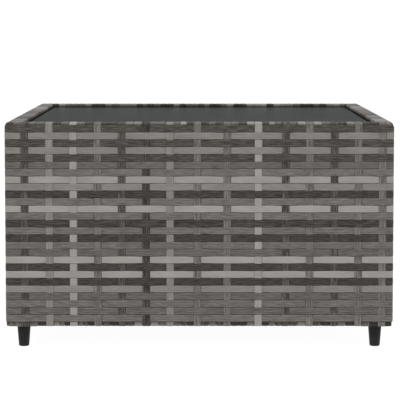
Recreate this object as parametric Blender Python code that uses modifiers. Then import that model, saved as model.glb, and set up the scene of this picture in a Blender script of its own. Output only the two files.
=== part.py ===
"""Square wicker coffee table: a welded tube frame, a woven skin, a loose glass top and screw-on feet.

The origin is on the floor under the table's centre, +Z is up and the front faces -Y.
The four sides are alike, so each side piece is modelled once, at the front, and turned in quarter turns.
Some comments use "reach" for the distance of a side piece from the table's centre.
"""

import bmesh
import bpy
from math import cos, pi, sin
from mathutils import Matrix

COLLECTION_NAME = "wicker_coffee_table"
SIDES = ("front", "right", "back", "left")  # each a quarter turn after the one before
CORNERS = ("front_left", "front_right", "back_right", "back_left")

GAP = 0.0003  # between pieces that touch

# Whole table
HALF_WIDTH = 0.300
HEIGHT = 0.350
SKIN_BASE_Z = 0.035
CORNER_RADIUS = 0.006

# Woven skin
SKIN_THICKNESS = 0.003  # one strand crossing over another
WRAP_THICKNESS = 0.0015  # a single strand wound round a rail
RIM_JOIN_Z = 0.3425  # where the side weave ends and the wound rim starts
RIM_EDGE_RADIUS = 0.0055

# Frame of square steel tube
TUBE = 0.020
TUBE_WALL = 0.0012
TUBE_RADIUS = 0.0015
FRAME_REACH = HALF_WIDTH - SKIN_THICKNESS - GAP
FRAME_INSIDE = FRAME_REACH - TUBE
TOP_RAIL_Z = HEIGHT - WRAP_THICKNESS - GAP - TUBE / 2

# Foot plates, studs and feet
PLATE_THICKNESS = 0.0025
PLATE_SIZE = 0.0467
PLATE_RADIUS = 0.004
PLATE_BASE_Z = SKIN_BASE_Z + GAP
BOTTOM_RAIL_Z = PLATE_BASE_Z + PLATE_THICKNESS + GAP + TUBE / 2
FOOT_REACH = 0.2740
FOOT_TOP_RADIUS = 0.0106
FOOT_BASE_RADIUS = 0.0081
FOOT_EDGE = 0.0015
STUD_RADIUS = 0.0037
STUD_BASE_Z = 0.0155
FOOT_BORE_RADIUS = STUD_RADIUS + GAP

# Glass, its ledge and its pads
GLASS_HALF = 0.2705
GLASS_THICKNESS = 0.005
GLASS_TOP_Z = 0.345
GLASS_CORNER_RADIUS = 0.008
GLASS_EDGE = 0.0008
PAD_RADIUS = 0.004
PAD_THICKNESS = 0.0019
PAD_REACH = 0.2655
PAD_OFFSET = 0.150
LEDGE_WIDTH = 0.015
LEDGE_THICKNESS = 0.003
UPSTAND_THICKNESS = 0.0015
UPSTAND_TOP_Z = 0.3472  # the ledge's upright leg, which shows above the glass
PAD_BASE_Z = GLASS_TOP_Z - GLASS_THICKNESS - GAP - PAD_THICKNESS
LEDGE_TOP_Z = PAD_BASE_Z - GAP
LEDGE_REACH = FRAME_INSIDE - GAP

WRAP_INSIDE = FRAME_INSIDE - GAP - WRAP_THICKNESS  # inner face of the strands wound round a rail
BASE_WRAP_HALF_LENGTH = FRAME_REACH - PLATE_SIZE - 0.001


# Scene, collections and materials


def clear_scene():
    for obj in list(bpy.data.objects):
        bpy.data.objects.remove(obj)


def new_collection(name):
    collection = bpy.data.collections.new(name)
    bpy.context.scene.collection.children.link(collection)
    return collection


def new_material(name, color, roughness, metallic=0.0, alpha=1.0):
    material = bpy.data.materials.new(name)
    material.use_nodes = True
    shader = material.node_tree.nodes["Principled BSDF"]
    shader.inputs["Base Color"].default_value = (*color, 1.0)
    shader.inputs["Roughness"].default_value = roughness
    shader.inputs["Metallic"].default_value = metallic
    shader.inputs["Alpha"].default_value = alpha
    material.diffuse_color = (*color, alpha)
    return material


# Modelling helpers


def arc(centre, radius, start, end, steps=4):
    """Points round a corner, from one angle to another."""
    angles = [start + (end - start) * step / steps for step in range(steps + 1)]
    return [(centre[0] + radius * cos(a), centre[1] + radius * sin(a)) for a in angles]


def rounded_rectangle(half_x, half_y, radius):
    """Outline round the origin, anticlockwise from the right side's lower end."""
    x, y = half_x - radius, half_y - radius
    corners = ((x, -y, -pi / 2), (x, y, 0), (-x, y, pi / 2), (-x, -y, pi))
    points = []
    for corner_x, corner_y, start in corners:
        points += arc((corner_x, corner_y), radius, start, start + pi / 2)
    return points


def outline_mesh(name, outlines, thickness):
    """Closed mesh of a flat outline, or of one with holes, centred on its thickness along Z."""
    curve = bpy.data.curves.new(name, "CURVE")
    curve.dimensions = "2D"
    curve.fill_mode = "BOTH"
    curve.extrude = thickness / 2
    for points in outlines:
        spline = curve.splines.new("POLY")
        spline.points.add(len(points) - 1)
        for point, (x, y) in zip(spline.points, points):
            point.co = (x, y, 0.0, 1.0)
        spline.use_cyclic_u = True
    guide = bpy.data.objects.new(name + "_outline", curve)
    bpy.context.scene.collection.objects.link(guide)
    graph = bpy.context.evaluated_depsgraph_get()
    mesh = bpy.data.meshes.new_from_object(guide.evaluated_get(graph))
    bpy.data.objects.remove(guide)
    bpy.data.curves.remove(curve)
    mesh.name = name
    shape = bmesh.new()
    shape.from_mesh(mesh)
    bmesh.ops.remove_doubles(shape, verts=shape.verts, dist=1e-6)
    shape.to_mesh(mesh)
    shape.free()
    return mesh


def disc_mesh(name, radius, thickness):
    shape = bmesh.new()
    bmesh.ops.create_cone(
        shape, cap_ends=True, segments=24, radius1=radius, radius2=radius, depth=thickness
    )
    mesh = bpy.data.meshes.new(name)
    shape.to_mesh(mesh)
    shape.free()
    return mesh


def add_object(name, mesh, collection, material=None, location=(0, 0, 0), quarter_turns=0):
    obj = bpy.data.objects.new(name, mesh)
    obj.location = location
    obj.rotation_euler = (0, 0, quarter_turns * pi / 2)
    if material and not mesh.materials:
        mesh.materials.append(material)
    collection.objects.link(obj)
    return obj


def add_bevel(obj, width, segments=2):
    bevel = obj.modifiers.new("edges", "BEVEL")
    bevel.width = width
    bevel.segments = segments
    bevel.limit_method = "ANGLE"


def add_sides(stem, mesh, collection, material):
    """One piece on each side of the table, all sharing the front piece's mesh."""
    for turn, side in enumerate(SIDES):
        add_object(f"{stem}_{side}", mesh, collection, material, quarter_turns=turn)


def corner_places(reach):
    """Name, place and quarter turns of each corner, front left first."""
    for turn, name in enumerate(CORNERS):
        angle = turn * pi / 2
        x = -reach * cos(angle) + reach * sin(angle)
        y = -reach * sin(angle) - reach * cos(angle)
        yield name, x, y, turn


def shade_round(obj):
    obj.data.shade_smooth()
    obj.data.set_sharp_from_angle(angle=0.6)


# Steel frame


def tube_mesh(name, length):
    """Square hollow tube along Z."""
    outside = rounded_rectangle(TUBE / 2, TUBE / 2, TUBE_RADIUS)
    bore = TUBE / 2 - TUBE_WALL
    inside = rounded_rectangle(bore, bore, TUBE_RADIUS - TUBE_WALL)
    return outline_mesh(name, [outside, inside], length)


def rail_mesh(name, z):
    """The front rail: it reaches the left face of the frame and stops at the right rail's inner face."""
    start = -FRAME_REACH
    end = FRAME_INSIDE - GAP
    mesh = tube_mesh(name, end - start)
    mesh.transform(Matrix.Rotation(pi / 2, 4, "Y"))
    mesh.transform(Matrix.Translation(((start + end) / 2, -FRAME_REACH + TUBE / 2, z)))
    return mesh


def make_frame(parts, paint):
    add_sides("top_rail", rail_mesh("top_rail", TOP_RAIL_Z), parts, paint)
    add_sides("bottom_rail", rail_mesh("bottom_rail", BOTTOM_RAIL_Z), parts, paint)

    post_base = BOTTOM_RAIL_Z + TUBE / 2 + GAP
    post_top = TOP_RAIL_Z - TUBE / 2 - GAP
    post = tube_mesh("corner_post", post_top - post_base)
    for name, x, y, turn in corner_places(FRAME_REACH - TUBE / 2):
        place = (x, y, (post_base + post_top) / 2)
        add_object(f"corner_post_{name}", post, parts, paint, place, turn)


# Pieces mitred at the corners


def sector_cutter(cutters):
    """The front quarter of the table's rounded plan, which mitres a side piece at both ends."""
    inner = CORNER_RADIUS
    corner = HALF_WIDTH - inner
    left = arc((-corner, -corner), inner, 5 * pi / 4, 3 * pi / 2)
    right = arc((corner, -corner), inner, 3 * pi / 2, 7 * pi / 4)
    mesh = outline_mesh("side_sector", [[(0.0, 0.0), *left, *right]], 3 * HEIGHT)
    cutter = add_object("side_sector", mesh, cutters, location=(0, -GAP / 2 * 2**0.5, 0))
    cutter.hide_render = True
    cutter.display_type = "WIRE"
    return cutter


def section_mesh(name, section, length):
    """A section of (reach, height) points, run along the front side."""
    mesh = outline_mesh(name, [section], length)
    mesh.transform(Matrix(((0, 0, 1, 0), (-1, 0, 0, 0), (0, 1, 0, 0), (0, 0, 0, 1))))
    shape = bmesh.new()
    shape.from_mesh(mesh)
    bmesh.ops.recalc_face_normals(shape, faces=shape.faces)
    shape.to_mesh(mesh)
    shape.free()
    return mesh


def mitred_mesh(name, section, cutter, collection):
    """The section run along the front and cut to the front sector."""
    bar = add_object(name, section_mesh(name, section, 2.2 * HALF_WIDTH), collection)
    cut = bar.modifiers.new("mitre", "BOOLEAN")
    cut.operation = "INTERSECT"
    cut.object = cutter
    graph = bpy.context.evaluated_depsgraph_get()
    mesh = bpy.data.meshes.new_from_object(bar.evaluated_get(graph))
    bpy.data.objects.remove(bar)
    mesh.name = name
    return mesh


def ledge_section():
    """Angle welded inside the top rail: a flat leg under the glass and an upright leg beside it."""
    inner_face = LEDGE_REACH - UPSTAND_THICKNESS
    base = LEDGE_TOP_Z - LEDGE_THICKNESS
    return [
        (LEDGE_REACH - LEDGE_WIDTH, base),
        (LEDGE_REACH, base),
        (LEDGE_REACH, UPSTAND_TOP_Z),
        (inner_face, UPSTAND_TOP_Z),
        (inner_face, LEDGE_TOP_Z),
        (LEDGE_REACH - LEDGE_WIDTH, LEDGE_TOP_Z),
    ]


def panel_section():
    inside = HALF_WIDTH - SKIN_THICKNESS
    return [(inside, SKIN_BASE_Z), (HALF_WIDTH, SKIN_BASE_Z), (HALF_WIDTH, RIM_JOIN_Z), (inside, RIM_JOIN_Z)]


def rim_section():
    """Channel over the top rail: outer lip down to the side weave, inner lip down to the upstand."""
    base = RIM_JOIN_Z + GAP
    inside = HALF_WIDTH - SKIN_THICKNESS
    edge_centre = (HALF_WIDTH - RIM_EDGE_RADIUS, HEIGHT - RIM_EDGE_RADIUS)
    inner_base = UPSTAND_TOP_Z + GAP
    inner_centre = (WRAP_INSIDE + WRAP_THICKNESS, HEIGHT - WRAP_THICKNESS)
    return [
        (inside, base),
        (HALF_WIDTH, base),
        *arc(edge_centre, RIM_EDGE_RADIUS, 0, pi / 2, steps=6),
        *arc(inner_centre, WRAP_THICKNESS, pi / 2, pi),
        (WRAP_INSIDE, inner_base),
        (WRAP_INSIDE + WRAP_THICKNESS, inner_base),
        (WRAP_INSIDE + WRAP_THICKNESS, HEIGHT - WRAP_THICKNESS),
        (inside, HEIGHT - WRAP_THICKNESS),
    ]


def base_wrap_section():
    """Channel round the bottom rail, open towards the side weave."""
    outside = FRAME_REACH
    rail_base = BOTTOM_RAIL_Z - TUBE / 2 - GAP
    rail_top = BOTTOM_RAIL_Z + TUBE / 2 + GAP
    return [
        (outside, SKIN_BASE_Z),
        (outside, rail_base),
        (WRAP_INSIDE + WRAP_THICKNESS, rail_base),
        (WRAP_INSIDE + WRAP_THICKNESS, rail_top),
        (outside, rail_top),
        (outside, rail_top + WRAP_THICKNESS),
        (WRAP_INSIDE, rail_top + WRAP_THICKNESS),
        (WRAP_INSIDE, SKIN_BASE_Z),
    ]


def make_mitred_pieces(parts, cutters, paint, strand):
    cutter = sector_cutter(cutters)
    ledge = mitred_mesh("glass_ledge", ledge_section(), cutter, parts)
    panel = mitred_mesh("wicker_panel", panel_section(), cutter, parts)
    rim = mitred_mesh("rim_wrap", rim_section(), cutter, parts)
    base = section_mesh("base_wrap", base_wrap_section(), 2 * BASE_WRAP_HALF_LENGTH)
    add_sides("glass_ledge", ledge, parts, paint)
    add_sides("wicker_panel", panel, parts, strand)
    add_sides("rim_wrap", rim, parts, strand)
    add_sides("base_wrap", base, parts, strand)


# Feet


def foot_mesh():
    """Half section of the tapered foot, from the bottom of its blind bore round to its base."""
    bore_base = STUD_BASE_Z - GAP
    edge = arc((FOOT_BASE_RADIUS - FOOT_EDGE, FOOT_EDGE), FOOT_EDGE, 0, -pi / 2)
    profile = [
        (0.0, bore_base),
        (FOOT_BORE_RADIUS, bore_base),
        (FOOT_BORE_RADIUS, SKIN_BASE_Z),
        (FOOT_TOP_RADIUS - 0.0005, SKIN_BASE_Z),
        (FOOT_TOP_RADIUS, SKIN_BASE_Z - 0.0005),
        *edge,
        (0.0, 0.0),
    ]
    mesh = bpy.data.meshes.new("foot")
    mesh.from_pydata([(r, 0.0, z) for r, z in profile], [(i, i + 1) for i in range(len(profile) - 1)], [])
    return mesh


def add_screw(obj, steps=32):
    screw = obj.modifiers.new("turned", "SCREW")
    screw.steps = steps
    screw.render_steps = steps
    screw.use_merge_vertices = True
    screw.merge_threshold = 0.0001
    screw.use_smooth_shade = True


def make_feet(parts, paint, steel, plastic):
    plate = outline_mesh(
        "foot_plate", [rounded_rectangle(PLATE_SIZE / 2, PLATE_SIZE / 2, PLATE_RADIUS)], PLATE_THICKNESS
    )
    stud = disc_mesh("foot_stud", STUD_RADIUS, SKIN_BASE_Z - STUD_BASE_Z)
    foot = foot_mesh()
    for name, x, y, turn in corner_places(FRAME_REACH - PLATE_SIZE / 2):
        place = (x, y, PLATE_BASE_Z + PLATE_THICKNESS / 2)
        add_object(f"foot_plate_{name}", plate, parts, paint, place, turn)
    for name, x, y, turn in corner_places(FOOT_REACH):
        stud_object = add_object(
            f"foot_stud_{name}", stud, parts, steel, (x, y, (SKIN_BASE_Z + STUD_BASE_Z) / 2), turn
        )
        add_bevel(stud_object, 0.0005)
        shade_round(stud_object)
        foot_object = add_object(f"foot_{name}", foot, parts, plastic, (x, y, 0), turn)
        add_screw(foot_object)


# Glass


def make_pads(parts, silicone):
    """Two round pads on each side's ledge."""
    pad = disc_mesh("glass_pad", PAD_RADIUS, PAD_THICKNESS)
    for turn, side in enumerate(SIDES):
        for number, offset in enumerate((-PAD_OFFSET, PAD_OFFSET), start=1):
            front = Matrix.Translation((offset, -PAD_REACH, PAD_BASE_Z + PAD_THICKNESS / 2))
            place = (Matrix.Rotation(turn * pi / 2, 4, "Z") @ front).translation
            pad_object = add_object(f"glass_pad_{side}_{number}", pad, parts, silicone, place)
            shade_round(pad_object)


def make_glass(parts, glass):
    # The pane lifts straight up, so its own parent stands for the joint along +Z.
    lift = bpy.data.objects.new("glass_lift_axis", None)
    lift.location = (0, 0, GLASS_TOP_Z - GLASS_THICKNESS / 2)
    parts.objects.link(lift)
    outline = rounded_rectangle(GLASS_HALF, GLASS_HALF, GLASS_CORNER_RADIUS)
    pane = add_object("glass_top", outline_mesh("glass_top", [outline], GLASS_THICKNESS), parts, glass)
    pane.parent = lift
    add_bevel(pane, GLASS_EDGE)


def main():
    clear_scene()
    parts = new_collection(COLLECTION_NAME)
    cutters = new_collection("cutters")
    paint = new_material("black_paint", (0.012, 0.012, 0.012), 0.45)
    strand = new_material("grey_strand", (0.141, 0.130, 0.122), 0.6)
    steel = new_material("zinc_steel", (0.55, 0.55, 0.55), 0.35, metallic=1.0)
    plastic = new_material("black_plastic", (0.021, 0.021, 0.021), 0.4)
    glass = new_material("smoked_glass", (0.072, 0.084, 0.084), 0.05, alpha=0.85)
    silicone = new_material("clear_silicone", (0.6, 0.6, 0.6), 0.5, alpha=0.6)
    make_frame(parts, paint)
    make_mitred_pieces(parts, cutters, paint, strand)
    make_feet(parts, paint, steel, plastic)
    make_pads(parts, silicone)
    make_glass(parts, glass)


main()
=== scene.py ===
"""Looks of the square wicker coffee table: woven flat strands, smoked glass, paint and plastic feet.

Each side is modelled in its own plan: "along" runs to the right as seen from outside that side,
"reach" is the distance from the table's centre, and "z" is the height.
"""

from math import cos, pi, radians, sin

import bmesh
import bpy
import numpy as np
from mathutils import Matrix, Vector


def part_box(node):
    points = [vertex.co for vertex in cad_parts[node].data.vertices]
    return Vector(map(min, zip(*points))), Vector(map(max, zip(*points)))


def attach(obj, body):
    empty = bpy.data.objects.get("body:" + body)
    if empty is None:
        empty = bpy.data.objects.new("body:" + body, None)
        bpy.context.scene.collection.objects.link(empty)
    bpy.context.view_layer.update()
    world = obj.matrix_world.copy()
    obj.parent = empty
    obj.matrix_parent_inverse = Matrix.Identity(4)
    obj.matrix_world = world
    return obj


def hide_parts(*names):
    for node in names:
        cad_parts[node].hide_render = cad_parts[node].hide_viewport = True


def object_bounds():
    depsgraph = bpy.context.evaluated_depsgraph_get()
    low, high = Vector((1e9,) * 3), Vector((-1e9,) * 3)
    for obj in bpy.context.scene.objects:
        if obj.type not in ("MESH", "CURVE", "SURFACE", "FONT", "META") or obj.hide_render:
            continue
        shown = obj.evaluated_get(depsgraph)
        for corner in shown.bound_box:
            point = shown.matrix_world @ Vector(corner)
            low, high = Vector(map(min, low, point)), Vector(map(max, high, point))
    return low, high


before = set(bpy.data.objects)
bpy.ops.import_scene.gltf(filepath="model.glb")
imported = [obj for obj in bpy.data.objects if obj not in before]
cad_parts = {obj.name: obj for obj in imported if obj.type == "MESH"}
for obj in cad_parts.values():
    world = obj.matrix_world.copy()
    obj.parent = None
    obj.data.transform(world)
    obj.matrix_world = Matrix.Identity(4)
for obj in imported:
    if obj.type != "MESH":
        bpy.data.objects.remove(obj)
cad_low, cad_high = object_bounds()

SIDES = ("front", "right", "back", "left")  # each a quarter turn after the one before
CORNERS = ("front_left", "front_right", "back_right", "back_left")

# Places read from the frame
HALF = cad_high.x
TOP_Z = cad_high.z
SKIN_BASE_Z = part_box("wicker_panel_front")[0].z
RAIL_REACH = -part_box("top_rail_front")[0].y
RAIL_INSIDE = -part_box("top_rail_front")[1].y
BOTTOM_RAIL_TOP_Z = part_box("bottom_rail_front")[1].z
RIM_INSIDE = -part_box("rim_wrap_front")[1].y
PLATE_INSIDE = -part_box("foot_plate_front_left")[1].x

# Strands
ROW_PITCH = 0.01128
TOP_ROW_Z = 0.3411  # middle of the highest row
TIGHT_ROWS = 17  # rows below these were beaten less tightly, and lie lower by up to the slack
BASE_SLACK = 0.0006
ROW_STATIONS = 121  # points along a row's straight run
ROW_DRIFT = 0.00006  # how far a row wanders up and down
DRIFT_KNOTS = 17
DRIFT_FADE = 0.03  # near a corner the drift fades out over this length
STRAND_THICKNESS = 0.0011
SKIN_REACH = 0.2992  # middle of the woven skin
COLUMN_REACH = SKIN_REACH - 0.0001
WRAP_REACH = RAIL_REACH + 0.0009  # middle of the strands wound straight round a rail
WEFT_SWAY = 0.00042  # how far a row goes out and in as it crosses the columns
WARP_SWAY = 0.00068  # the same for a column as it crosses the rows
WEFT_WIDTH = 0.0116  # on average: a row is wider where it lies over a column
WEFT_SWELL = 0.0003  # how much wider
WARP_WIDTH = 0.0117
WRAP_WIDTH = 0.0133  # at most
STRAND_GAP = 0.0001  # between neighbouring wound strands
CORNER_RADIUS = 0.0060
MITRE_GAP = 0.0001
MITRE_DROP = 0.004  # how far a strand turns into the rim or base at a mitre
MITRE_LEAN = 0.0002
RIM_TOP_Z = TOP_Z + 0.0005  # the strands' upper face, which stands a little proud of the wrap
LIP_END_Z = 0.3461  # where the strands end, inside the rim
BASE_STRAND_Z = SKIN_BASE_Z - 0.0006  # the underside of the strands wound round the base
RAIL_CLEARANCE = 0.0003
PLATE_CLEARANCE = 0.001
PLATE_END_RISE = 0.004  # a strand that ends at a foot plate runs straight from here above the base
FACE_DEPTH = 0.0008  # a strand's points less far inside than this are on the outer face
RIM_BEND = 0.0036  # radii of the bends of the strands over the rim and under the base
COLUMN_RIM_BEND = 0.0046
BASE_BEND = 0.0030
INNER_BEND = 0.0016
RIM_RUN_Z = (0.322, 0.332)  # heights of the strands' straight runs behind the weave
BASE_RUN_Z = (0.062, 0.052, 0.044)
CROSSING_HALF = 0.0043  # half the height of a column's run over or under a row
CROSSING = ((0.93, -1), (1, -0.4), (1, 0.4), (0.93, 1))  # shares of the sway and of that height
# Heights between which the painted shade on a wound strand changes, and how light it is painted at
# each. It is darkest under the rim's overhang, inside the rim, just under the lowest row and under
# the base. It is a little darker all over the rim and a little lighter low on the base's front.
UNDER_RIM = (0.3460, 0.3490), (0.40, 0.84)
INSIDE_RIM = (0.3470, 0.3500), (0.86, 0.90)
OVER_BASE = (0.0372, 0.0402), (1.05, 0.50)
UNDER_BASE_PAINTED_SHADE = 0.9
# The highest row leans inwards over the ends of the rails
LEAN_Z = 0.3422
LEAN_RISE = 0.0048
LEAN_RADIUS = 0.0052
LEAN_START = 0.283
LEAN_RUN = 0.014

# Feet
FOOT_BASE_RADIUS = 0.0081
FOOT_EDGE = 0.0015
FOOT_TOP_EDGE = 0.0006
FOOT_STEPS = 64
FIT_GAP = 0.0003

# Glass
PANE_CORNER = 0.008
PANE_EDGE = 0.0009

# Shade of each row, top to bottom, and of each column of every side, left to right.
# B is black, a painted shade that stands in for the deep shade under the base, K nearly black, D
# dark, N darker than middle, M middle, H half light and L light.
ROWS = "DHDHDNMLHKMLMKMKMNLKLKHNMNM"
COLUMN_PLACES = (
    -0.269, -0.231, -0.194, -0.1565, -0.1195, -0.082, -0.045, -0.003,
    0.043, 0.091, 0.133, 0.170, 0.208, 0.245, 0.282,
)  # fmt: skip
COLUMNS = {
    "front": "DHLMDKHMMLDMDMM",
    "right": "MDHMLDMHDMHLDMD",
    "back": "MDDHLDMDHDHHHMD",
    "left": "HMDLMDHDMLMDHMD",
}
# Strands wound round the rail in each gap between columns, from the left corner to the right one
RIM_FILL = {
    "front": "DM MM DM MD DD HH MM MLD DMD MDL DHM ML LM DH DD H",
    "right": "MH LL LH MN HM NM ND MDN NMH MNH HMM LM HM MH MN M",
    "back": "LL LH MD MH LD LL DL DDH MMD DDM MDH HM DD MM LD H",
    "left": "HM MH HM MH LH LL HM HMN MNM MHN NMN ND MN HM HH M",
}
# The black strands B under the base are painted shade, where the underside lies in deep shade
BASE_FILL = {
    "front": "MM MB HMB NDB DB DH HN NDB DND BBM BMD DH DB MB NB B",
    "right": "DM BH DD LB HM BD DH MBD LHB DMD BMH DL HB DD MB M",
    "back": "MB LM DH BM DD HB ML DBM HDB MLD DBM HM BD MH LB D",
    "left": "HB DD ML BH DM LB MM HDB MBD DLM HBD DM BL DH MB D",
}
# Colour of each shade, and how strongly its grain and the painted shade in its grooves show
SHADES = {
    "B": ((0.0240, 0.0215, 0.0190), 1.50, 1.0),
    "K": ((0.0430, 0.0365, 0.0310), 2.60, 1.0),
    "D": ((0.0655, 0.0575, 0.0490), 2.20, 1.0),
    "N": ((0.1255, 0.1135, 0.1040), 1.05, 0.95),
    "M": ((0.1530, 0.1400, 0.1290), 0.95, 0.85),
    "H": ((0.2330, 0.2170, 0.2020), 0.35, 0.35),
    "L": ((0.3290, 0.3100, 0.2920), 0.18, 0.20),
}

RANDOM_SEED = 7
draws = np.random.default_rng(RANDOM_SEED)


# Shader helpers


class Nodes:
    """Adds nodes to one material and links them."""

    def __init__(self, name):
        self.material = bpy.data.materials.new(name)
        self.material.use_nodes = True
        self.tree = self.material.node_tree
        self.shader = self.tree.nodes["Principled BSDF"]

    def add(self, kind, **values):
        """A node of this kind. Values that are names of inputs or properties are set or linked."""
        node = self.tree.nodes.new("ShaderNode" + kind)
        for key, value in values.items():
            if hasattr(node, key):
                setattr(node, key, value)
            else:
                self.feed(node.inputs[key.replace("_", " ")], value)
        return node

    def feed(self, socket, value):
        if isinstance(value, bpy.types.NodeSocket):
            self.tree.links.new(value, socket)
        else:
            socket.default_value = value

    def math(self, operation, *values):
        node = self.tree.nodes.new("ShaderNodeMath")
        node.operation = operation
        for socket, value in zip(node.inputs, values):
            self.feed(socket, value)
        return node.outputs[0]

    def noise(self, place, waves, detail=2.0):
        """Noise from 0 to 1, with this many waves a metre along each axis of the place."""
        scaled = self.add("VectorMath", operation="MULTIPLY")
        self.feed(scaled.inputs[0], place)
        self.feed(scaled.inputs[1], waves)
        texture = self.add("TexNoise", Scale=1.0, Detail=detail)
        self.feed(texture.inputs["Vector"], scaled.outputs[0])
        return texture.outputs["Fac"]

    def object_noise(self, *waves):
        """Noise fixed to the object, with this many waves a metre along x, y and z."""
        return self.noise(self.add("TexCoord").outputs["Object"], waves)

    def ramp(self, factor, low, high, start=0.0, end=1.0):
        """A colour that goes from low to high as the factor goes from start to end."""
        node = self.add("ValToRGB")
        for element, position, color in zip(node.color_ramp.elements, (start, end), (low, high)):
            element.position = position
            element.color = (*color, 1)
        self.feed(node.inputs[0], factor)
        return node.outputs[0]

    def bump(self, height, strength, distance):
        """A normal for this relief, which is at most this many metres high."""
        node = self.add("Bump", Strength=strength, Distance=distance)
        self.feed(node.inputs["Height"], height)
        return node.outputs[0]

    def shade(self, **values):
        """The material, with these values or links on its shader."""
        for key, value in values.items():
            self.feed(self.shader.inputs[key.replace("_", " ")], value)
        return self.material


# Strand material


def strand_material():
    """Grained plastic strand. Each strand's mesh says its colour, with painted shade and highlight
    already in it, and where on it a point lies.
    """
    make = Nodes("strand_plastic")
    shade = make.add("Attribute", attribute_name="shade")
    place = make.add("Attribute", attribute_name="strand").outputs["Vector"]
    seed_spread = 37.0  # sets each strand's noise apart from its neighbours'

    def streaks(along, across, detail):
        """Noise about zero, drawn out along the strand, with this many waves a metre each way."""
        return make.math("SUBTRACT", make.noise(place, (along, across, seed_spread), detail), 0.5)

    broad = streaks(26.0, 50.0, 1.0)
    fine = streaks(70.0, 850.0, 2.0)
    hair = streaks(230.0, 2600.0, 2.0)
    grain = make.math("MULTIPLY_ADD", hair, 0.5, fine)
    strength = make.math("MULTIPLY", shade.outputs["Alpha"], 1.9)
    bright = make.math("MULTIPLY_ADD", grain, strength, make.math("MULTIPLY_ADD", broad, 0.35, 1.0))
    bright = make.math("MAXIMUM", bright, 0.4)
    tint = make.add("VectorMath", operation="SCALE")
    make.feed(tint.inputs[0], shade.outputs["Color"])
    make.feed(tint.inputs["Scale"], bright)
    rough = make.math("MULTIPLY_ADD", fine, -0.25, 0.55)
    relief = make.bump(grain, 0.30, 0.0002)
    return make.shade(
        Base_Color=tint.outputs[0], Roughness=rough, Normal=relief, Specular_IOR_Level=0.4
    )


# Strand geometry


GROOVE, EDGE = 1, 2  # places on a strand's outline that get painted shade, darker than its face


def strip_section(width, thickness):
    """Outline of a flat strand as (across, out) points, with what lies there and how dark that is.

    Its face is crowned, with two grooves, and its edges are thin. The darkness of each point is
    painted shade: in the grooves, at the edges and on the back, and most at the lower edge, which is
    away from the light overhead. The small negative darkness beside the edges is a painted
    highlight.
    """
    half, top = width / 2, thickness / 2
    crown, groove, lip = 0.00010, 0.00018, 0.00055
    outline = [
        (-half, 0.0, EDGE, 0.88),
        (-half + 0.00040, top * 0.5, EDGE, 0.86),
        (-half + 0.00100, top * 0.90, EDGE, 0.48),
        (-half + 0.00160, top, EDGE, -0.04),
    ]
    for centre in (-0.34 * half, 0.34 * half):
        rise = top + crown * (1 - (centre / half) ** 2)
        outline += [
            (centre - lip, rise, 0, 0.0),
            (centre, rise - groove, GROOVE, 0.42),
            (centre + lip, rise, 0, 0.0),
        ]
        if centre < 0:
            outline.append((0.0, top + crown, 0, 0.0))
    outline += [
        (half - 0.00060, top * 0.92, EDGE, -0.04),
        (half - 0.00018, top * 0.5, EDGE, 0.35),
        (half, 0.0, EDGE, 0.55),
        (half - 0.0004, -top, EDGE, 0.3),
        (-half + 0.0004, -top, EDGE, 0.3),
    ]
    section = np.array(outline)
    return section[:, :2], section[:, 2], section[:, 3]


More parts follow.
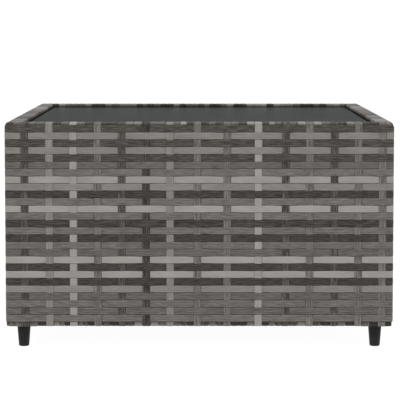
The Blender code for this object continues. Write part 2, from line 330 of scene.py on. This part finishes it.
class Strands:
    """Collects swept strands and makes them one object."""

    def __init__(self, name):
        self.name = name
        self.points, self.faces, self.places, self.shades = [], [], [], []
        self.count = 0

    def sweep(
        self, side, path, across, out, widths, shade,
        edges=1.0, start=0.0, fit=None, painted_lightness=1.0, roughen=1.0,
    ):  # fmt: skip
        """One closed strand along a side's path, with the unit vectors across and out at each point.

        The lightness given at each point is painted shade, from 0 in a deep crease to 1 out in the
        open; edges sets how strongly the painted shade at the strand's edges shows.
        """
        path, across, out = (np.asarray(a, float) for a in (path, across, out))
        widths = np.broadcast_to(widths, len(path))
        full, kind, painted_shade_and_highlight = strip_section(widths.mean(), STRAND_THICKNESS)
        n, m = len(path), len(full)
        stretch = (widths / widths.mean())[:, None]
        points = (
            path[:, None, :]
            + across[:, None, :] * (full[None, :, 0] * stretch)[:, :, None]
            + out[:, None, :] * full[None, :, 1][:, :, None]
        )
        if fit is not None:
            points = fit(points)
        points = turned(points, side)
        steps = np.linalg.norm(np.diff(path, axis=0), axis=1)
        length = np.concatenate([[0.0], np.cumsum(steps)]) + start
        edge = np.linalg.norm(np.diff(full, axis=0, append=full[:1]), axis=1)
        perimeter = np.concatenate([[0.0], np.cumsum(edge)[:-1]])
        seed = float(draws.uniform(0.0, 50.0))
        places = np.empty((n, m, 3))
        places[:, :, 0] = length[:, None]
        places[:, :, 1] = perimeter[None, :]
        places[:, :, 2] = seed
        first = self.count
        ring = np.arange(m)
        start_index = first + np.arange(n - 1)[:, None] * m
        a = start_index + ring[None, :]
        b = start_index + (ring[None, :] + 1) % m
        quads = np.stack([a, b, b + m, a + m], axis=-1).reshape(-1, 4)
        self.faces += quads[:, ::-1].tolist()
        self.faces.append((first + ring).tolist())
        self.faces.append((first + (n - 1) * m + ring)[::-1].tolist())
        self.points.append(points.reshape(-1, 3))
        self.places.append(places.reshape(-1, 3))
        tone = 1.0 + draws.uniform(-0.04, 0.04)
        color, grain, grooves = SHADES[shade]
        # Painted shade in the grooves, at the edges and on the back, and a painted highlight beside
        # the edges
        light = tone * (1.0 - painted_shade_and_highlight * np.where(kind == GROOVE, grooves, edges))
        light = np.broadcast_to(painted_lightness, n)[:, None] * light[None, :]
        colors = np.empty((n, m, 4))
        colors[:, :, :3] = light[:, :, None] * np.array(color)
        colors[:, :, 3] = grain * roughen
        self.shades.append(colors.reshape(-1, 4))
        self.count += n * m

    def build(self, material):
        mesh = bpy.data.meshes.new(self.name)
        mesh.from_pydata(np.concatenate(self.points).tolist(), [], self.faces)
        place = mesh.attributes.new("strand", "FLOAT_VECTOR", "POINT")
        place.data.foreach_set("vector", np.concatenate(self.places).astype(np.float32).ravel())
        shade = mesh.attributes.new("shade", "FLOAT_COLOR", "POINT")
        shade.data.foreach_set("color", np.concatenate(self.shades).astype(np.float32).ravel())
        cleaned = bmesh.new()  # points that a mitre has pushed together become one
        cleaned.from_mesh(mesh)
        bmesh.ops.dissolve_degenerate(cleaned, dist=1e-6, edges=cleaned.edges)
        cleaned.to_mesh(mesh)
        cleaned.free()
        return linked_object(mesh, material, 50)


def linked_object(mesh, material, sharp_angle):
    """A new object with this mesh, smooth but for edges sharper than the angle."""
    mesh.materials.append(material)
    mesh.shade_smooth()
    mesh.set_sharp_from_angle(angle=radians(sharp_angle))
    obj = bpy.data.objects.new(mesh.name, mesh)
    bpy.context.scene.collection.objects.link(obj)
    return obj


def turned(points, side):
    """Points of the front side's plan, as (along, -reach, z), turned to this side."""
    angle = SIDES.index(side) * pi / 2
    turn = np.array([[cos(angle), -sin(angle), 0], [sin(angle), cos(angle), 0], [0, 0, 1]])
    return np.asarray(points) @ turn.T


def row_height(row):
    """Middle of a row. The weave is looser towards the base, so its last rows lie a little lower."""
    slack = max(row - TIGHT_ROWS, 0) / (len(ROWS) - 1 - TIGHT_ROWS)
    return TOP_ROW_Z - row * ROW_PITCH - BASE_SLACK * slack**1.5


def column_is_over(column, row, side):
    """Whether this side's column lies over the row: neighbours alternate, also round the corners."""
    return (column + row + SIDES.index(side)) % 2 == 1


def smooth(value):
    return value * value * (3 - 2 * value)


def weft_sway(along, row, side):
    """How far out the row lies here: towards the inside where a column lies over it."""
    knots = [(-HALF, 0.0)]
    for column, place in enumerate(COLUMN_PLACES):
        sway = -WEFT_SWAY if column_is_over(column, row, side) else WEFT_SWAY
        knots.append((place, sway))
    knots.append((HALF, 0.0))
    for (x0, y0), (x1, y1) in zip(knots, knots[1:]):
        if x0 <= along <= x1:
            return y0 + (y1 - y0) * smooth((along - x0) / (x1 - x0))
    return 0.0


def weft_path(row, side):
    """Plan points of one row on one side, from the middle of one corner's bend to the next one's."""
    bend = CORNER_RADIUS - (HALF - SKIN_REACH)
    straight = SKIN_REACH - bend
    path, out = [], []
    for angle in (-45.0, -30.0, -15.0):
        a = radians(angle)
        path.append((-straight + bend * sin(a), -straight - bend * cos(a)))
        out.append((sin(a), -cos(a)))
    for along in np.linspace(-straight, straight, ROW_STATIONS):
        path.append((along, -(SKIN_REACH + weft_sway(along, row, side))))
        out.append((0.0, -1.0))
    for angle in (15.0, 30.0, 45.0):
        a = radians(angle)
        path.append((straight + bend * sin(a), -straight - bend * cos(a)))
        out.append((sin(a), -cos(a)))
    return np.array(path), np.array(out)


def round_top_corner(points):
    """Leans the highest row's upper edge inwards near the corners, over the ends of the rails."""
    along, rise = np.abs(points[..., 0]), np.clip(points[..., 2] - LEAN_Z, 0.0, LEAN_RISE)
    weight = smooth(np.clip((along - LEAN_START) / LEAN_RUN, 0.0, 1.0))
    inward = (LEAN_RADIUS - np.sqrt(LEAN_RADIUS**2 - rise**2)) * weight
    sign = np.sign(points[..., 0])
    corner = along > HALF - CORNER_RADIUS
    leaned = points.copy()
    leaned[..., 1] += inward
    leaned[..., 0] -= np.where(corner, sign * inward, 0.0)
    return leaned


def weft_rows(side, material):
    strands = Strands(f"weft_strands_{side}")
    for row, shade in enumerate(ROWS):
        plan, out = weft_path(row, side)
        along = plan[:, 0]
        knots = draws.uniform(-ROW_DRIFT, ROW_DRIFT, DRIFT_KNOTS)
        drift = np.interp(along, np.linspace(-HALF, HALF, DRIFT_KNOTS), knots)
        drift *= smooth(np.clip((HALF - np.abs(along)) / DRIFT_FADE, 0.0, 1.0))
        swell = np.array([weft_sway(a, row, side) for a in along]) / WEFT_SWAY
        widths = WEFT_WIDTH + WEFT_SWELL * draws.uniform(0.4, 1.6) * swell
        path = np.column_stack([plan, row_height(row) + drift])
        outs = np.column_stack([out, np.zeros(len(out))])
        across = np.tile([0.0, 0.0, 1.0], (len(plan), 1))
        strands.sweep(
            side, path, across, outs, widths, shade,
            start=SIDES.index(side) * 2 * HALF, fit=round_top_corner if row == 0 else None,
        )  # fmt: skip
    return strands.build(material)


def frames_of(path):
    """Unit vectors out of a side's upright path of (reach, z) points, from the way it runs."""
    tangent = np.gradient(path, axis=0)
    tangent /= np.linalg.norm(tangent, axis=1)[:, None]
    return np.column_stack([tangent[:, 1], -tangent[:, 0]])


def arc_points(centre, radius, start, end, steps):
    angles = np.radians(np.linspace(start, end, steps))
    return [(centre[0] + radius * cos(a), centre[1] + radius * sin(a)) for a in angles]


def flat_run(inner_reach, outer_reach, z):
    """(reach, z) points on the flat between two bends."""
    return [(inner_reach + f * (outer_reach - inner_reach), z) for f in (0.66, 0.33)]


def over_rim(reach, outer):
    """(reach, z) points from a face at this reach, over the rim and down in front of the upstand."""
    half = STRAND_THICKNESS / 2
    top = RIM_TOP_Z - half
    inner_reach = RIM_INSIDE - RAIL_CLEARANCE - half
    points = arc_points((reach - outer, top - outer), outer, 0, 90, 8)
    points += flat_run(inner_reach + INNER_BEND, reach - outer, top)
    points += arc_points((inner_reach + INNER_BEND, top - INNER_BEND), INNER_BEND, 90, 180, 6)
    points.append((inner_reach, LIP_END_Z))
    return points


def meets_foot_plate(along, width):
    """Whether a strand this far along a side would run into a corner's foot plate under the base."""
    return abs(along) + width / 2 > PLATE_INSIDE + PLATE_CLEARANCE


def under_base(reach):
    """(reach, z) points from the outer face, under the bottom rail and up its inner side."""
    half = STRAND_THICKNESS / 2
    low = BASE_STRAND_Z + half
    inner_reach = RAIL_INSIDE - 2 * RAIL_CLEARANCE - half
    points = arc_points((reach - BASE_BEND, low + BASE_BEND), BASE_BEND, 0, -90, 7)
    points += flat_run(inner_reach + INNER_BEND, reach - BASE_BEND, low)
    points += arc_points((inner_reach + INNER_BEND, low + INNER_BEND), INNER_BEND, -90, -180, 5)
    points.append((inner_reach, BOTTOM_RAIL_TOP_Z + 0.001))
    return points


def down_to_plate(reach):
    """(reach, z) points of a strand's end at a corner, where a foot plate lies under the rail."""
    high = SKIN_BASE_Z + PLATE_END_RISE
    return [(reach, BASE_STRAND_Z + f * (high - BASE_STRAND_Z)) for f in (1.0, 0.5, 0.0)]


def warp_path(column, side):
    """(reach, z) points of a column: up inside the base rail, up the weave and over the rim."""
    ending = down_to_plate if meets_foot_plate(COLUMN_PLACES[column], WARP_WIDTH) else under_base
    points = list(reversed(ending(COLUMN_REACH)))
    for row in reversed(range(len(ROWS))):
        sway = WARP_SWAY if column_is_over(column, row, side) else -WARP_SWAY
        z = row_height(row)
        points += [(SKIN_REACH + sway * f, z + CROSSING_HALF * g) for f, g in CROSSING]
    points += over_rim(COLUMN_REACH, COLUMN_RIM_BEND)
    return np.array(points)


def fit_to_corner(points):
    """Bends an upright strand round the corner's edge, and keeps it short of the mitre."""
    along, reach = np.abs(points[..., 0]), -points[..., 1]
    face = WRAP_REACH + STRAND_THICKNESS / 2
    centre = face - CORNER_RADIUS
    turn = pi / 4 * np.clip((along - centre) / CORNER_RADIUS, 0.0, 1.0)
    radius = np.maximum(reach - centre, 0.0)
    bent = along > centre
    fitted = points.copy()
    bent_along = np.sign(points[..., 0]) * (centre + radius * np.sin(turn))
    fitted[..., 0] = np.where(bent, bent_along, points[..., 0])
    mitre = np.maximum(reach, along + MITRE_GAP)
    fitted[..., 1] = -np.where(bent, centre + radius * np.cos(turn), mitre)
    return fitted


def add_upright(strands, side, along, profile, width, shade):
    """A strand that runs up and down a side at one place along it."""
    outs = frames_of(profile)
    path = np.column_stack([np.full(len(profile), along), -profile[:, 0], profile[:, 1]])
    out = np.column_stack([np.zeros(len(profile)), -outs[:, 0], outs[:, 1]])
    across = np.tile([-1.0, 0.0, 0.0], (len(profile), 1))
    # A column's edges get less of the painted edge shade than a row's
    strands.sweep(side, path, across, out, width, shade, edges=0.45, roughen=1.5, fit=fit_to_corner)


def warp_columns(side, material):
    strands = Strands(f"warp_strands_{side}")
    for column, (place, shade) in enumerate(zip(COLUMN_PLACES, COLUMNS[side])):
        add_upright(strands, side, place, warp_path(column, side), WARP_WIDTH, shade)
    return strands.build(material)


def fill_places(fill):
    """(along, width, shade) of the strands wound between the columns and out to the corners."""
    edges = [-HALF, *COLUMN_PLACES, HALF]
    half = WARP_WIDTH / 2
    for gap, shades in enumerate(fill.split()):
        start = edges[gap] + (half if gap else HALF - WRAP_REACH)
        end = edges[gap + 1] - (half if gap < len(COLUMN_PLACES) else HALF - WRAP_REACH)
        slot = (end - start) / len(shades)
        for number, shade in enumerate(shades):
            yield start + slot * (number + 0.5), min(WRAP_WIDTH, slot - STRAND_GAP), shade


def painted_crease_shade(profile):
    """How light a wound strand is painted along its profile: painted shade where the weave and the
    rim would shade it, and under the base.
    """
    reach, z = profile[:, 0], profile[:, 1]
    outside = reach > WRAP_REACH - FACE_DEPTH
    at_rim = np.where(outside, np.interp(z, *UNDER_RIM), np.interp(z, *INSIDE_RIM))
    at_base = np.where(outside, np.interp(z, *OVER_BASE), UNDER_BASE_PAINTED_SHADE)
    return np.where(z > TOP_Z / 2, at_rim, at_base)


def wound_strands(name, side, fill, whole_profile, plate_profile, material):
    """Strands wound over the rim or under the base, shortened at the mitres and foot plates."""
    strands = Strands(f"{name}_{side}")
    turn = -1.0 if fill is RIM_FILL else 1.0
    for along, width, shade in fill_places(fill[side]):
        profile = plate_profile if meets_foot_plate(along, width) else whole_profile
        reach_limit = abs(along) - width / 2 + MITRE_GAP
        kept = profile[profile[:, 0] > reach_limit]
        if len(kept) < len(profile):
            end_z = kept[-1][1]
            turned_in = (reach_limit - MITRE_LEAN, end_z + MITRE_DROP * turn)
            kept = np.vstack([kept, [(reach_limit, end_z), turned_in]])
        outs = frames_of(kept)
        path = np.column_stack([np.full(len(kept), along), -kept[:, 0], kept[:, 1]])
        out = np.column_stack([np.zeros(len(kept)), -outs[:, 0], outs[:, 1]])
        across = np.tile([turn, 0.0, 0.0], (len(kept), 1))
        # Painted shade: weaker at the strand's edges than on a row, and deepest in the creases along
        # its profile
        strands.sweep(
            side, path, across, out * -turn, width, shade,
            edges=0.6, fit=fit_to_corner, painted_lightness=painted_crease_shade(kept),
        )  # fmt: skip
    return strands.build(material)


def make_weave(material):
    rim_profile = np.array([(WRAP_REACH, z) for z in RIM_RUN_Z] + over_rim(WRAP_REACH, RIM_BEND))
    behind_rows = [(WRAP_REACH, z) for z in BASE_RUN_Z]
    base_profile = np.array(behind_rows + under_base(WRAP_REACH))
    plate_profile = np.array(behind_rows + down_to_plate(WRAP_REACH))
    for side in SIDES:
        weft = weft_rows(side, material)
        warp = warp_columns(side, material)
        rim = wound_strands("rim_strands", side, RIM_FILL, rim_profile, rim_profile, material)
        base = wound_strands("base_strands", side, BASE_FILL, base_profile, plate_profile, material)
        for piece in (weft, warp, rim, base):
            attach(piece, "table")
        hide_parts(f"wicker_panel_{side}")
        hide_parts(f"wicker_panel_{side}")
        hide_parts(f"rim_wrap_{side}")
        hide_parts(f"base_wrap_{side}")


# Other materials


def paint_material():
    """Black powder coat: satin, with a fine orange-peel texture."""
    make = Nodes("frame_paint")
    peel = make.object_noise(1400.0, 1400.0, 1400.0)
    color = make.ramp(peel, (0.010, 0.010, 0.011), (0.020, 0.020, 0.021))
    rough = make.math("MULTIPLY_ADD", peel, 0.15, 0.38)
    return make.shade(Base_Color=color, Roughness=rough, Normal=make.bump(peel, 0.25, 0.0001))


def plastic_material():
    """Moulded black plastic with faint lighter and darker streaks down the foot."""
    make = Nodes("foot_plastic")
    marks = make.object_noise(900.0, 900.0, 60.0)
    color = make.ramp(marks, (0.003, 0.003, 0.003), (0.015, 0.015, 0.015), 0.38, 0.62)
    rough = make.math("MULTIPLY_ADD", marks, 0.2, 0.35)
    relief = make.bump(marks, 0.15, 0.0001)
    return make.shade(Base_Color=color, Roughness=rough, Normal=relief, Specular_IOR_Level=0.25)


def steel_material():
    """Zinc-plated steel with the marks of turning round it."""
    make = Nodes("stud_steel")
    marks = make.object_noise(80.0, 80.0, 4000.0)
    color = make.ramp(marks, (0.42, 0.43, 0.45), (0.62, 0.62, 0.63))
    rough = make.math("MULTIPLY_ADD", marks, 0.25, 0.25)
    return make.shade(Base_Color=color, Roughness=rough, Metallic=1.0)


def silicone_material():
    """Milky silicone pad."""
    make = Nodes("pad_silicone")
    cloud = make.object_noise(500.0, 500.0, 500.0)
    color = make.ramp(cloud, (0.50, 0.50, 0.49), (0.66, 0.66, 0.64))
    return make.shade(Base_Color=color, Roughness=0.5, Subsurface_Weight=0.1)


def glass_material():
    """Smoked glass: nearly black in the body, with a polished face."""
    make = Nodes("smoked_glass")
    haze = make.object_noise(9.0, 9.0, 9.0)
    color = make.ramp(haze, (0.016, 0.021, 0.020), (0.022, 0.028, 0.027))
    rough = make.math("MULTIPLY_ADD", haze, 0.04, 0.20)
    return make.shade(Base_Color=color, Roughness=rough)


# Other parts


def dress(names, material):
    """Gives CAD nodes that are kept their material."""
    for name in names:
        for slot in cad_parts[name].material_slots:
            slot.material = material


def foot_profile(corner):
    """(radius, z) of a turned foot, from its axis at the bottom of its bore round to its base."""
    low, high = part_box(f"foot_{corner}")
    stud_low, stud_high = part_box(f"foot_stud_{corner}")
    bore = (stud_high.x - stud_low.x) / 2 + FIT_GAP
    bore_end = stud_low.z - FIT_GAP
    top = (high.x - low.x) / 2
    points = [(0.0, bore_end), (bore, bore_end), (bore, high.z)]
    points += arc_points((top - FOOT_TOP_EDGE, high.z - FOOT_TOP_EDGE), FOOT_TOP_EDGE, 90, 0, 4)
    points += arc_points((FOOT_BASE_RADIUS - FOOT_EDGE, low.z + FOOT_EDGE), FOOT_EDGE, 0, -90, 6)
    return points + [(0.0, low.z)]


def make_feet(material):
    """The feet again, turned finely round the bores that take their studs."""
    for corner in CORNERS:
        low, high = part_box(f"foot_{corner}")
        centre = (low + high) / 2
        shape = bmesh.new()
        ring = [shape.verts.new((radius, 0.0, z)) for radius, z in foot_profile(corner)]
        edges = [shape.edges.new(pair) for pair in zip(ring, ring[1:])]
        bmesh.ops.spin(
            shape, geom=ring + edges, angle=2 * pi, steps=FOOT_STEPS, axis=(0, 0, 1), cent=(0, 0, 0)
        )
        bmesh.ops.remove_doubles(shape, verts=shape.verts, dist=0.00001)
        bmesh.ops.recalc_face_normals(shape, faces=shape.faces)
        bmesh.ops.translate(shape, vec=(centre.x, centre.y, 0.0), verts=shape.verts)
        mesh = bpy.data.meshes.new(f"turned_foot_{corner}")
        shape.to_mesh(mesh)
        shape.free()
        foot = linked_object(mesh, material, 35)
        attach(foot, "table")
        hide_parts(f"foot_{corner}")


def make_glass():
    """The pane again, with a finer rounded corner and a ground edge."""
    low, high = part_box("glass_top")
    shape = bmesh.new()
    bmesh.ops.create_cube(shape, size=1.0)
    bmesh.ops.scale(shape, vec=high - low, verts=shape.verts)
    bmesh.ops.translate(shape, vec=(low + high) / 2, verts=shape.verts)
    upright = [e for e in shape.edges if abs(e.verts[0].co.z - e.verts[1].co.z) > 0.001]
    bmesh.ops.bevel(
        shape, geom=upright, offset=PANE_CORNER, segments=10, profile=0.5, affect="EDGES"
    )
    rims = [e for e in shape.edges if len(e.link_faces) == 2 and e.calc_face_angle() > 1.2]
    bmesh.ops.bevel(shape, geom=rims, offset=PANE_EDGE, segments=3, profile=0.5, affect="EDGES")
    mesh = bpy.data.meshes.new("glass_pane")
    shape.to_mesh(mesh)
    shape.free()
    pane = linked_object(mesh, glass_material(), 25)
    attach(pane, "glass")
    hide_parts("glass_top")


# Camera, floor and light

SENSOR_WIDTH = 36.0
LENS = 152.4
FRONT_DISTANCE = 2.593  # from the table's front face
EYE = (0.0010, 0.5080)  # across and up
PITCH = 4.055  # degrees down
SHIFT = -0.1506
FLOOR_RADIUS = 40.0
FLOOR_GLOW = 0.97
BACKDROP_GLOW = 1.1
STUDIO_LOW = (0.0765, 0.0850, 0.0810, 1)  # colours of the studio that the surfaces see
STUDIO_MIDDLE = (0.10, 0.108, 0.105, 1)
STUDIO_HIGH = (0.95, 0.95, 0.95, 1)
LIGHT_DISTANCE = 2.6
LIGHT_HEIGHT = 2.2
LIGHT_SIZE = 2.2
LIGHT_POWER = 20.0
LIGHT_TARGET = (0, 0, 0.15)


def make_camera():
    data = bpy.data.cameras.new("camera")
    data.sensor_width = SENSOR_WIDTH
    data.lens = LENS
    data.shift_y = SHIFT
    data.dof.use_dof = False
    camera = bpy.data.objects.new("camera", data)
    camera.location = (EYE[0], -HALF - FRONT_DISTANCE, EYE[1])
    camera.rotation_euler = (radians(90.0 - PITCH), 0.0, 0.0)
    bpy.context.scene.collection.objects.link(camera)
    bpy.context.scene.camera = camera


def make_floor():
    """A seamless pale floor that glows a little, as a lit sweep does."""
    make = Nodes("floor_white")
    make.shade(
        Base_Color=(0.12, 0.12, 0.12, 1), Roughness=1.0, Specular_IOR_Level=0.0,
        Emission_Color=(1, 1, 1, 1), Emission_Strength=FLOOR_GLOW,
    )  # fmt: skip
    shape = bmesh.new()
    bmesh.ops.create_circle(shape, cap_ends=True, segments=64, radius=FLOOR_RADIUS)
    mesh = bpy.data.meshes.new("floor")
    shape.to_mesh(mesh)
    shape.free()
    mesh.materials.append(make.material)
    floor = bpy.data.objects.new("floor", mesh)
    bpy.context.scene.collection.objects.link(floor)


def make_world():
    """White to the camera. The surfaces see a studio that is dark low down and bright overhead."""
    world = bpy.data.worlds.new("studio")
    world.use_nodes = True
    bpy.context.scene.world = world
    tree = world.node_tree
    tree.nodes.clear()
    out = tree.nodes.new("ShaderNodeOutputWorld")
    mix = tree.nodes.new("ShaderNodeMixShader")
    path = tree.nodes.new("ShaderNodeLightPath")
    seen = tree.nodes.new("ShaderNodeBackground")
    seen.inputs["Color"].default_value = (1, 1, 1, 1)
    seen.inputs["Strength"].default_value = BACKDROP_GLOW
    around = tree.nodes.new("ShaderNodeBackground")
    where = tree.nodes.new("ShaderNodeTexCoord")
    split = tree.nodes.new("ShaderNodeSeparateXYZ")
    ramp = tree.nodes.new("ShaderNodeValToRGB")
    ramp.color_ramp.elements[0].position = 0.0
    ramp.color_ramp.elements[0].color = STUDIO_LOW
    ramp.color_ramp.elements[1].position = 0.16
    ramp.color_ramp.elements[1].color = STUDIO_MIDDLE
    high = ramp.color_ramp.elements.new(0.75)
    high.color = STUDIO_HIGH
    tree.links.new(where.outputs["Generated"], split.inputs[0])
    tree.links.new(split.outputs["Z"], ramp.inputs[0])
    tree.links.new(ramp.outputs[0], around.inputs["Color"])
    tree.links.new(path.outputs["Is Camera Ray"], mix.inputs[0])
    tree.links.new(around.outputs[0], mix.inputs[1])
    tree.links.new(seen.outputs[0], mix.inputs[2])
    tree.links.new(mix.outputs[0], out.inputs[0])


def make_lights():
    """A softbox in front of each side, above the table."""
    for quarter, side in enumerate(SIDES):
        angle = quarter * pi / 2
        place = Vector((LIGHT_DISTANCE * sin(angle), -LIGHT_DISTANCE * cos(angle), LIGHT_HEIGHT))
        data = bpy.data.lights.new(f"softbox_{side}", "AREA")
        data.shape = "SQUARE"
        data.size = LIGHT_SIZE
        data.energy = LIGHT_POWER
        lamp = bpy.data.objects.new(data.name, data)
        lamp.location = place
        lamp.rotation_euler = (Vector(LIGHT_TARGET) - place).to_track_quat("-Z", "Y").to_euler()
        lamp.visible_camera = False
        lamp.visible_glossy = False
        bpy.context.scene.collection.objects.link(lamp)


def main():
    bpy.context.scene.view_settings.view_transform = "Standard"
    make_camera()
    make_floor()
    make_world()
    make_lights()
    make_weave(strand_material())
    make_glass()
    paint = paint_material()
    for stem in ("top_rail", "bottom_rail", "glass_ledge"):
        dress([f"{stem}_{side}" for side in SIDES], paint)
    for stem in ("corner_post", "foot_plate"):
        dress([f"{stem}_{corner}" for corner in CORNERS], paint)
    make_feet(plastic_material())
    dress([f"foot_stud_{corner}" for corner in CORNERS], steel_material())
    dress([f"glass_pad_{side}_{n}" for side in SIDES for n in (1, 2)], silicone_material())


main()
